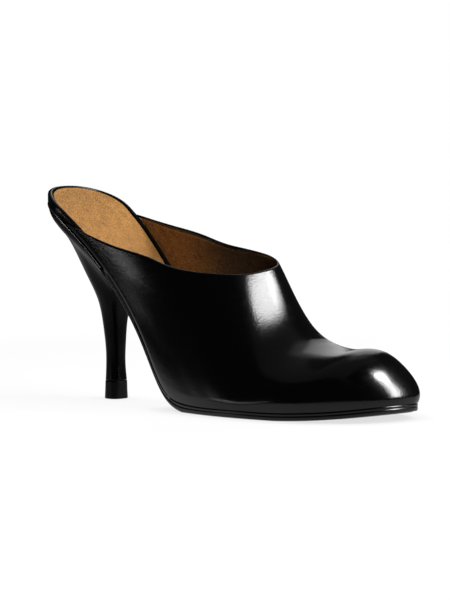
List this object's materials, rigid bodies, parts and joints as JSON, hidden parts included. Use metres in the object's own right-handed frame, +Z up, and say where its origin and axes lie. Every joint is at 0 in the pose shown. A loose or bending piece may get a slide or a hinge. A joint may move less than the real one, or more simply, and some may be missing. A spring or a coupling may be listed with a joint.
{
  "type": "mule shoe",
  "caption": "Right shoe: backless closed-toe mule in polished black leather, rounded toe, high wrapped slim heel and tan sock; slips on the foot, its heel left open.",
  "frame": {"origin": "middle of the heel's top piece, on the floor", "axes": "+X from the heel to the toe, +Y to the shoe's inner (big toe) side, +Z up"},
  "size_m": [0.218, 0.0773, 0.1043],
  "materials": {
    "upper_leather": "gloss",
    "rim_leather": "gloss",
    "sock_leather": "matte",
    "sole_leather": "satin",
    "heel_leather": "gloss",
    "top_piece_rubber": "satin"
  },
  "bodies": {
    "root": {"upper": "upper_leather", "insole_board": "rim_leather", "sock": "sock_leather", "outsole": "sole_leather", "heel": "heel_leather", "top_piece": "top_piece_rubber"}
  },
  "joints": []
}
